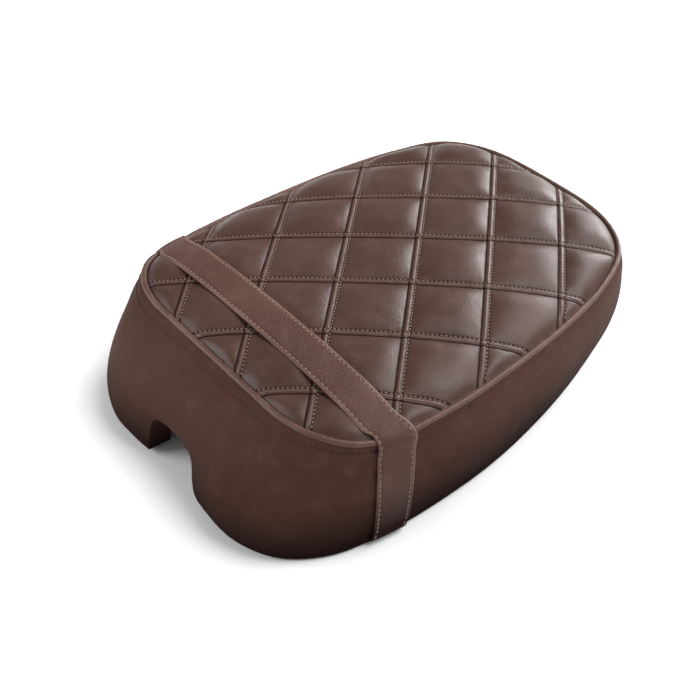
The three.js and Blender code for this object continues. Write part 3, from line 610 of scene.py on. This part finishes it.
def quilt_stitches():
    points, tangents = [], []
    odd = np.arange(-7, 8, 2)
    run = np.linspace(-8, 8, 1400)
    for family in (0, 1):
        for line in odd:
            u, v = (line + 0 * run, run) if family == 0 else (run, line + 0 * run)
            x, y = DIAMOND_X * (u + v) / 2 * MM, DIAMOND_Y * (u - v) / 2 * MM
            across = unit(np.array([1 / DIAMOND_X, (1, -1)[family] / DIAMOND_Y, 0]))
            path = np.stack([x, y, 0 * x], -1)
            path = path[reach_share(path[:, 0], path[:, 1])[0] < 1]
            if len(path) < 2:
                continue
            side = (1, -1)[family]  # each seam is stitched down on one side
            place, ahead = spaced(path + across * side * STITCH_ROW * MM, QUILT_PITCH)
            points.append(place)
            tangents.append(ahead)
    points, tangents = np.vstack(points), np.vstack(tangents)
    depth, _ = edge_depth(points[:, 0], points[:, 1])
    inside = depth > 5.0
    points, tangents, depth = points[inside], tangents[inside], depth[inside]

    def raised(p):
        deep, _ = edge_depth(p[:, 0], p[:, 1])
        return np.stack([p[:, 0], p[:, 1], quilt_height(p[:, 0], p[:, 1], deep)], -1)

    step = 0.6 * MM
    side = np.stack([-tangents[:, 1], tangents[:, 0], 0 * tangents[:, 0]], -1)
    here = raised(points)
    ahead = unit(raised(points + tangents * step) - raised(points - tangents * step))
    across = unit(raised(points + side * 2 * step) - raised(points - side * 2 * step))
    normals = unit(np.cross(ahead, across))
    piece = stitches("quilt_stitches", here, ahead, normals, thread, length=QUILT_LENGTH)
    finished(piece, "seat", "thread")


def wadding_and_foam():
    """The quilting layer under the leather and the moulded foam block, both hidden by the cover."""
    coarse = (0, 3, 6, 10, 15, 20, 25, SEAM_GAP)
    x, y, depth, faces = quilt_grid(coarse, 8.0)
    over = np.stack([x, y, quilt_height(x, y, depth) - (LEATHER + 0.4) * MM], -1)
    wadding = add_mesh("top_wadding_layer", over, faces, wadding_finish)
    clean(wadding)
    thicken(wadding, 2.4)
    finished(wadding, "seat", "quilt_wadding", "top_wadding")

    turns = np.arange(240) / 240
    seam = outline_at(SEAM, turns)
    rows = []
    for share in (0.02, 0.15, 0.3, 0.45, 0.6, 0.75, 0.87, 0.93):
        x, y = seam[:, 0] * share, seam[:, 1] * share
        rows.append(np.stack([x, y, top_height(x, y) - 9.5 * MM], -1))
    lap = np.abs((turns + 0.5) % 1.0 - 0.5)
    arch = np.clip((0.0405 - lap) / 0.0045, 0, 1)
    lowest = 0.7 - 0.28 * arch  # the block stops above the arch
    for share in (0.17, 0.29, 0.43, 0.57, 0.71, 0.86, 1.0):
        drop = share * lowest
        side = skin(turns, drop)
        under = (3 + drawn_in(side, drop)) * MM
        rows.append(side - skin_normal(turns, drop) * under[:, None])
    low = rows[-1][:, 2].mean() / MM
    hollow = len(rows)  # the three rows from here turn up into the hollow over the pan
    for inset, z in ((10, low - 1), (14, 47), (16.5, 51.5)):
        rows.append(inset_from(FOOT, turns, inset + 0 * turns, z + 0 * turns))
    for share in (0.7, 0.4, 0.02):
        rows.append(rows[-1] * (share, share, 1) if share == 0.7 else np.stack(
            [seam[:, 0] * share, seam[:, 1] * share, 0 * turns + 57.5 * MM], -1))
    rows = np.array(rows)
    inner = rows[hollow:hollow + 3]
    inner[..., 2] = np.maximum(inner[..., 2], arch * (ARCH_HEIGHT + 3.5) * MM)
    faces = grid_faces(len(rows), len(turns), wrap_columns=True)[:, ::-1].tolist()
    last = (len(rows) - 1) * len(turns)
    faces += [list(range(len(turns))), [last + k for k in range(len(turns))][::-1]]
    mesh = bpy.data.meshes.new("foam_block")
    mesh.from_pydata(rows.reshape(-1, 3).tolist(), [], faces)
    mesh.materials.append(foam_finish)
    mesh.polygons.foreach_set("use_smooth", [True] * len(mesh.polygons))
    foam = bpy.data.objects.new("foam_block", mesh)
    bpy.context.scene.collection.objects.link(foam)
    finished(foam, "seat", "seat_foam", "foam_core")


# ---------------------------------------------------------------- side panels


ROW_DROPS = np.concatenate([
    [0, 1.2, 2.2, 3.0, 3.8, 4.6, 5.4, 6.1, 6.7, 7.1, 7.5, 7.9, 8.3, 8.9, 9.7, 10.8, 12.2, 14, 16.2, 18.8],
    np.linspace(21.6, 108, 38),
]) / 108
RIM = [  # inset from the foot and height of the leather's turn round the pan's rim, in millimetres
    (0.15, 2.4), (0.75, 1.2), (1.8, 0.35), (3.4, 0.05), (5.2, 0.2), (6.5, 0.95), (7.15, 2.3),
    (7.25, 5), (7.25, 9), (7.25, 14),
]


def drawn_in(place, drop):
    """How far the front wall is pulled in beside the arch, in millimetres."""
    beside_arch = np.exp(-((place[..., 0] / MM / 56) ** 4)) * (place[..., 1] < 0)
    return 5.5 * beside_arch * np.sin(math.pi * np.clip((drop - 0.4) / 0.6, 0, 1)) ** 0.8


def wall_point(turn, drop):
    """The side leather with its seam allowance, stitch crease and wrinkles."""
    turn, drop = np.broadcast_arrays(turn, drop)
    base = skin(turn, drop)
    length = np.linalg.norm(skin(turn, 1 + 0 * drop) - skin(turn, 0 * drop), axis=-1) * 1.05 / MM
    below = drop * length
    seam_fold = 0.55 * np.exp(-(((below - 4.6) / 1.6) ** 2))
    crease = -1.1 * np.exp(-(((below - TOPSTITCH_DROP) / 1.0) ** 2))
    swell = 0.7 * np.exp(-(((below - 15) / 6) ** 2))
    lap = (turn + 0.5) % 1.0 - 0.5
    reach = np.abs(np.abs(lap) - STRAP_TURN) * LAP
    rear_seam = -0.9 * np.exp(-(((0.5 - np.abs(lap)) * LAP / 2.5) ** 2))
    tension = np.exp(-reach / 26) * np.exp(-(((below - 34) / 30) ** 2))
    stretched = base * (1, 1, 2.6)
    gather = ripple(stretched, 16, 21) * 0.55 * tension
    under = np.exp(-np.maximum(below - 7, 0) / 11)
    pull = ripple(base * (1, 1, 0.35), 13, 22) * 0.16 * under
    soft = ripple(base, 70, 23) * 0.35 * np.clip(below / 30, 0, 1) * np.clip((length - below) / 20, 0, 1)
    away = seam_fold + crease + rear_seam + swell + gather + pull + soft - drawn_in(base, drop)
    return base + skin_normal(turn, drop) * (away * MM)[..., None]


def rim_rows(turn):
    return [inset_from(FOOT, turn, inset + 0 * turn, z + 0 * turn) for inset, z in RIM]


def side_panel(name, start, end, columns, *replaced):
    turn = np.linspace(start, end, columns)
    rows = [wall_point(turn, drop) for drop in ROW_DROPS] + rim_rows(turn)
    piece = add_mesh(name, np.array(rows), grid_faces(len(rows), columns)[:, ::-1], skirt_leather)
    thicken(piece)
    finished(piece, "seat", "skirt_leather", *replaced)


def cubic(t, corners):
    p = np.array(corners, float)
    t = t[:, None]
    return (1 - t) ** 3 * p[0] + 3 * t * (1 - t) ** 2 * p[1] + 3 * t**2 * (1 - t) * p[2] + t**3 * p[3]


def bell(t):
    """The arch's outline at t -1 to 1 from foot to foot: x and z in millimetres."""
    w, h, flank, share = ARCH_HALF_WIDTH, ARCH_HEIGHT, ARCH_FLANK, np.abs(t)
    over = 0.58  # share of the outline above the flanks
    top = cubic(np.clip(share / over, 0, 1), [(0, h), (0.9 * w, 1.02 * h), (0.98 * w, 0.96 * h), (w, flank)])
    side = cubic(np.clip((share - over) / (1 - over), 0, 1),
                 [(w, flank), (w + 1.5, 0.4 * flank), (w + 0.35 * ARCH_FLARE, 3), (w + ARCH_FLARE, 1.5)])
    outline = np.where(share[:, None] < over, top, side)
    return np.sign(t) * outline[:, 0], outline[:, 1]


def on_front_wall(x, z):
    """Turn and drop of the front wall's points with an x and a height, in millimetres."""
    turn = x / 1150.0
    drop = np.clip((108 - z) / 104, 0, 1)
    for _ in range(12):
        p = skin(turn, drop) / MM
        turn = turn + (x - p[:, 0]) / 1250.0
        drop = np.clip(drop - (z - p[:, 2]) / 110.0, 0, 1)
    return turn, drop


def front_panel():
    half = 150
    foot_from = 0.30  # share of the half panel that ends on the arch
    w = np.linspace(-1, 1, 2 * half + 1)
    t = np.clip(w / foot_from, -1, 1)
    bell_x, bell_z = bell(t)
    lip_x = np.clip(bell_x, -ARCH_HALF_WIDTH, ARCH_HALF_WIDTH)
    turn_bell, drop_bell = on_front_wall(bell_x, np.maximum(bell_z, 4.0))
    edge_turn = abs(turn_bell[0])
    outer = np.clip((np.abs(w) - foot_from) / (1 - foot_from), 0, 1)
    limit = STRAP_TURN - PANEL_GAP
    turn_low = np.where(np.abs(w) <= foot_from, turn_bell,
                        np.sign(w) * (edge_turn + (limit - edge_turn) * outer))
    drop_low = np.where(np.abs(w) <= foot_from, drop_bell, 1.0)
    turn_top = w * limit
    arch = np.clip((foot_from + 0.03 - np.abs(w)) / 0.06, 0, 1)
    arch = (arch * arch * (3 - 2 * arch))[:, None]
    rows = []
    for drop in ROW_DROPS:
        turn = turn_top + (turn_low - turn_top) * drop**1.5
        rows.append(wall_point(turn, drop * drop_low))
    edge = rows[-1]
    lip_run = np.stack([-LIP_NARROWS * lip_x / ARCH_HALF_WIDTH, LIP_DEPTH + 0 * w, -0.1 * bell_z], -1) * MM
    for (inset, z), reach in zip(RIM, (0.05, 0.12, 0.2, 0.3, 0.42, 0.54, 0.66, 0.78, 0.9, 1.0)):
        folded = inset_from(FOOT, turn_low, inset + 0 * w, z + 0 * w)
        lip = edge + lip_run * reach
        rows.append(folded * (1 - arch) + lip * arch)
    piece = add_mesh("front_skirt", np.array(rows), grid_faces(len(rows), len(w))[:, ::-1], skirt_leather)
    thicken(piece)
    finished(piece, "seat", "skirt_leather", "front_skirt_panel")


def topstitching():
    turn = np.linspace(0, 1, 2400)
    base = skin(turn, 0 * turn)
    length = np.linalg.norm(skin(turn, 1 + 0 * turn) - base, axis=-1) * 1.05 / MM
    drop = TOPSTITCH_DROP / length
    path = wall_point(turn, drop)
    points, tangents = spaced(path, STITCH_PITCH)
    nearest = np.array([np.argmin(np.linalg.norm(path - p, axis=1)) for p in points])
    normals = skin_normal(turn[nearest], drop[nearest])
    piece = stitches("skirt_topstitching", points, tangents, normals, dark_thread)
    finished(piece, "seat", "thread")


def piping():
    turns, sides = 900, 16
    turn = np.arange(turns)[:, None] / turns
    angle = np.arange(sides)[None, :] * 2 * math.pi / sides
    turn, angle = np.broadcast_arrays(turn, angle)
    from_strap = np.abs(np.abs((turn + 0.5) % 1.0 - 0.5) - STRAP_TURN) * LAP
    pressed = STRAP_PRESS * np.exp(-((from_strap / 19) ** 4))
    centre = seam_inset(turn, PIPING_INSET + 0 * turn, -PIPING_DROP - pressed)
    wave = 1 + 0.03 * ripple(centre, 7, 31)
    radius = PIPING_RADIUS * wave * MM
    out = outward(turn, SEAM)
    points = centre + out * (radius * np.sin(angle))[..., None]
    points[..., 2] += radius * np.cos(angle)
    faces = grid_faces(turns, sides, wrap_rows=True, wrap_columns=True)
    piece = add_mesh("piping", points, faces, piping_leather)
    finished(piece, "seat", "piping_leather", "piping_wrap")


# ---------------------------------------------------------------- strap

ROOF_UNDER, RELIEF, HEM_OUTSIDE, HEM_TOP = 46.0, 6.4, 7.2, 14.0
STRAP_END = (92, -126)


def beside(point_at, across):
    """Points at distances across the strap from a line's place at the strap's turn."""
    step = 0.001
    pace = np.linalg.norm(point_at(np.array(STRAP_TURN + step)) - point_at(np.array(STRAP_TURN - step)))
    return point_at(STRAP_TURN + across * MM * 2 * step / pace)


def strap_line(across):
    """The faces that the strap lies against, from its left end over the top to its right end, at
    distances across its width."""
    rear, down = np.array([0.0, 1.0, 0.0]), along(np.array(STRAP_TURN), BELLY)
    end_x, y = STRAP_END[0] * MM, STRAP_END[1] * MM
    roof = (ROOF_UNDER - 0.3) * MM
    bend = HEM_OUTSIDE + 2
    flat = [
        (np.array([end_x, y, roof]), rear), (np.array([end_x + 24 * MM, y, roof]), rear),
        (np.array([end_x + 32 * MM, y, roof - 2.7 * MM]), unit(rear + down)),
    ]
    turn = np.array(STRAP_TURN)
    flat += [(inset_from(FOOT, turn, inset, z), down) for inset, z in (
        (bend + 6, ROOF_UNDER - 12), (bend, HEM_TOP), (bend, RELIEF + 1.2), (bend - 2.2, RELIEF - 1.1),
        (1, RELIEF - 1.1), (-1.6, RELIEF + 1.6))]
    stations = [place + way * across[:, None] * MM for place, way in flat]
    for drop in (0.9, 0.8, 0.7, 0.55, 0.4, 0.25, 0.12):
        stations.append(beside(lambda turn: skin(turn, 0 * turn + drop), across))
    over = beside(lambda turn: outline_at(SEAM, turn), across)
    stations += [over + np.array([-inset, 0, z]) * MM for inset, z in ((-1.8, -4.0), (0.6, -1.0), (5, 0.8))]
    seam = outline_at(SEAM, np.array(STRAP_TURN))
    for share in (0.9, 0.8, 0.65, 0.5, 0.3, 0.1):
        x, y = seam[0] * share + 0 * across, seam[1] + across * MM
        level = (top_height(x, y) + top_height(x, 0 * y + seam[1])) / 2
        stations.append(np.stack([x, y, level + (0.8 - 1.4 * share**6) * MM], -1))
    left = np.array(stations)
    return np.vstack([left, left[::-1] * (-1, 1, 1)])


def smooth_lines(points, spacing):
    """Smooth open curves through rows of points, sampled evenly along the middle one."""
    padded = np.concatenate([2 * points[:1] - points[1:2], points, 2 * points[-1:] - points[-2:-1]])
    dense = []
    for p0, p1, p2, p3 in zip(padded, padded[1:], padded[2:], padded[3:]):
        d0, d1, d2 = (
            np.sqrt(np.linalg.norm(b - a, axis=1, keepdims=True)) for a, b in ((p0, p1), (p1, p2), (p2, p3))
        )
        start = ((p1 - p0) / d0 - (p2 - p0) / (d0 + d1) + (p2 - p1) / d1) * d1
        end = ((p2 - p1) / d1 - (p3 - p1) / (d1 + d2) + (p3 - p2) / d2) * d1
        for t in np.arange(16) / 16:
            dense.append(p1 + start * t + (3 * (p2 - p1) - 2 * start - end) * t**2
                         + (2 * (p1 - p2) + start + end) * t**3)
    dense = np.array(dense + [points[-1]])
    middle = dense[:, points.shape[1] // 2]
    lengths = np.concatenate([[0], np.cumsum(np.linalg.norm(np.diff(middle, axis=0), axis=1))])
    places = np.linspace(0, lengths[-1], int(lengths[-1] / (spacing * MM)))
    lines = [[np.interp(places, lengths, dense[:, i, k]) for k in range(3)] for i in range(points.shape[1])]
    return np.array(lines).transpose(2, 0, 1)


class StrapBed:
    """The surface under the strap, with a place at any distance across it and height above it."""

    def __init__(self):
        self.across = np.linspace(-STRAP_HALF, STRAP_HALF, 5)
        self.points = smooth_lines(strap_line(self.across), 1.5)
        ahead = np.gradient(self.points, axis=0)
        self.out = unit(np.cross(np.gradient(self.points, axis=1), ahead))

    def at(self, across, height):
        place = np.clip((across + STRAP_HALF) / (2 * STRAP_HALF) * 4, 0, 4 - 1e-9)
        first = int(place)
        share = (across + STRAP_HALF) / (2 * STRAP_HALF) * 4 - first
        point = self.points[:, first] * (1 - share) + self.points[:, first + 1] * share
        out = self.out[:, first] * (1 - share) + self.out[:, first + 1] * share
        return point + unit(out) * height * MM

    def normals(self, across):
        return unit(self.at(across, 1) - self.at(across, 0))


def strap_body(name, replaced, profile, edge_from, bed):
    rows = np.stack([bed.at(across, height) for across, height in profile], 1)
    out = np.stack([bed.normals(across) for across, _ in profile], 1)
    rows = rows + out * ripple(rows, 26, 41)[..., None] * 0.2 * MM
    count = len(profile)
    faces = grid_faces(len(rows), count, wrap_columns=True)
    across, height = np.abs(np.array(profile)).T
    column = faces[:, 0] % count
    beside_column = (column + 1) % count
    # The top bevel's faces take the lighter edge finish: partly edge paint, partly a painted highlight.
    at_edge = (across[column] + across[beside_column] > 2 * edge_from) & (
        height[column] + height[beside_column] > 2 * (LINING_TOP + STRAP_THICK) - 1.2)
    last = (len(rows) - 1) * count
    caps = [list(range(count)), [last + k for k in range(count)][::-1]]
    edges = at_edge.astype(int).tolist() + [0, 0]
    piece = add_mesh(name, rows, faces[:, ::-1].tolist() + caps, [strap_leather, strap_edge], edges)
    finished(piece, "seat", "strap_leather", replaced)


def strap():
    bed = StrapBed()
    low, high, half = LINING_TOP, LINING_TOP + STRAP_THICK, STRAP_HALF
    row = half - 2.9
    top = [(half - 0.8, high - 0.3), (half - 1.3, high - 0.05), (half - 2.0, high), (row + 0.5, high - 0.1),
           (row, high - 0.4), (row - 0.6, high - 0.1), (row - 1.4, high + 0.1), (row - 3, high + 0.2),
           (6, high + 0.3), (2, high + 0.35)]
    right = [(half - 0.5, low), (half - 0.1, low + 0.4), (half + 0.1, low + 1.0), (half - 0.1, high - 0.8)]
    right += top
    left = [(-x, z) for x, z in reversed(right)]
    bottom = [(-10, low), (-4, low), (4, low), (10, low)]
    strap_body("strap_upper", "grab_strap", right + left + bottom, half - 1.9, bed)
    base, half = STRAP_LIFT, half - 0.6
    roof = low - 0.05
    section = [(half - 0.4, base), (half - 0.1, base + 0.3), (half - 0.1, roof - 0.25), (half - 0.4, roof)]
    section += [(6, roof), (-6, roof)] + [(-x, z) for x, z in reversed(section)]
    section += [(-6, base), (6, base)]
    strap_body("strap_lower", "strap_lining", section, half - 0.8, bed)

    for end, side in (("front", -1), ("rear", 1)):
        path = bed.at(side * row, high - 0.3)
        places, tangents = spaced(path, STITCH_PITCH)
        nearest = np.array([np.argmin(np.linalg.norm(path - p, axis=1)) for p in places])
        normals = bed.normals(side * row)[nearest]
        piece = stitches("strap_stitches_" + end, places, tangents, normals, thread, radius=0.45, lift=0.2)
        finished(piece, "seat", "thread")


# ---------------------------------------------------------------- staples


def staples():
    """Wire staples that hold the hem inside the pan's rim."""
    turn = np.linspace(0, 1, 78, endpoint=False) + 0.004
    place = outline_at(FOOT, turn)
    clear = (np.abs(place[:, 0]) > 52 * MM) | (place[:, 1] > 0)
    strap_side = np.abs(np.abs((turn + 0.5) % 1.0 - 0.5) - STRAP_TURN) > 0.019
    turn = turn[clear & strap_side]
    points = inset_from(FOOT, turn, 7.45 + 0 * turn, 9 + 0 * turn)
    normals = -outward(turn, FOOT)
    piece = stitches("hem_staples", points, along(turn, FOOT), normals, cad_finishes["zinc_steel"],
                     length=9.5, radius=0.45, lift=0.1)
    finished(piece, "seat", "zinc_steel")


# ---------------------------------------------------------------- stage


def stage():
    corners = [(-6, -6, 0), (6, -6, 0), (6, 6, 0), (-6, 6, 0)]
    floor = add_mesh("floor", corners, [(0, 1, 2, 3)], floor_finish())
    floor.location.z = -0.0004
    world = bpy.data.worlds.new("studio")
    world.use_nodes = True
    world.node_tree.nodes["Background"].inputs["Color"].default_value = (1, 1, 1, 1)
    world.node_tree.nodes["Background"].inputs["Strength"].default_value = 0.32
    bpy.context.scene.world = world
    area_light("window_behind", (-0.2, 1.9, 0.7), (0, 0, 0.1), 1.1, 42)
    area_light("soft_left", (-1.1, -1.5, 1.0), (0, 0, 0.05), 1.2, 24)
    sun = bpy.data.lights.new("sky_right", "SUN")
    sun.energy = 2.7
    sun.angle = math.radians(40)
    aim("sky_right", sun, (0.32, 0.46, 0.83), (0, 0, 0))


def floor_finish():
    f = Finish("studio_floor")
    tone = f.mix(f.noise(4.0), color(0.93, 0.93, 0.93), color(0.95, 0.95, 0.95))
    f.set(Base_Color=tone, Roughness=0.9, Specular_IOR_Level=0.0)
    return f.material


def area_light(name, place, target, size, power):
    data = bpy.data.lights.new(name, "AREA")
    data.shape = "SQUARE"
    data.size = size
    data.energy = power
    aim(name, data, place, target)


def aim(name, data, place, target):
    light = bpy.data.objects.new(name, data)
    light.location = place
    light.rotation_mode = "QUATERNION"
    light.rotation_quaternion = (Vector(target) - Vector(place)).to_track_quat("-Z", "Y")
    bpy.context.scene.collection.objects.link(light)


def camera():
    data = bpy.data.cameras.new("camera")
    data.lens = 53.84
    data.sensor_width = 36
    eye = bpy.data.objects.new("camera", data)
    eye.location = (0.5198, -0.4721, 0.6739)
    eye.rotation_mode = "QUATERNION"
    eye.rotation_quaternion = Vector((-0.55423, 0.46864, -0.68789)).to_track_quat("-Z", "Y")
    bpy.context.scene.collection.objects.link(eye)
    bpy.context.scene.camera = eye
    bpy.context.scene.view_settings.view_transform = "Standard"


camera()
stage()
finish_cad_nodes()
quilted_top()
quilt_stitches()
wadding_and_foam()
front_panel()
side_panel("left_skirt", STRAP_TURN + PANEL_GAP, 0.5 - PANEL_GAP, 190, "left_skirt_panel")
side_panel("right_skirt", 0.5 + PANEL_GAP, 1 - STRAP_TURN - PANEL_GAP, 190, "right_skirt_panel")
topstitching()
piping()
strap()
staples()
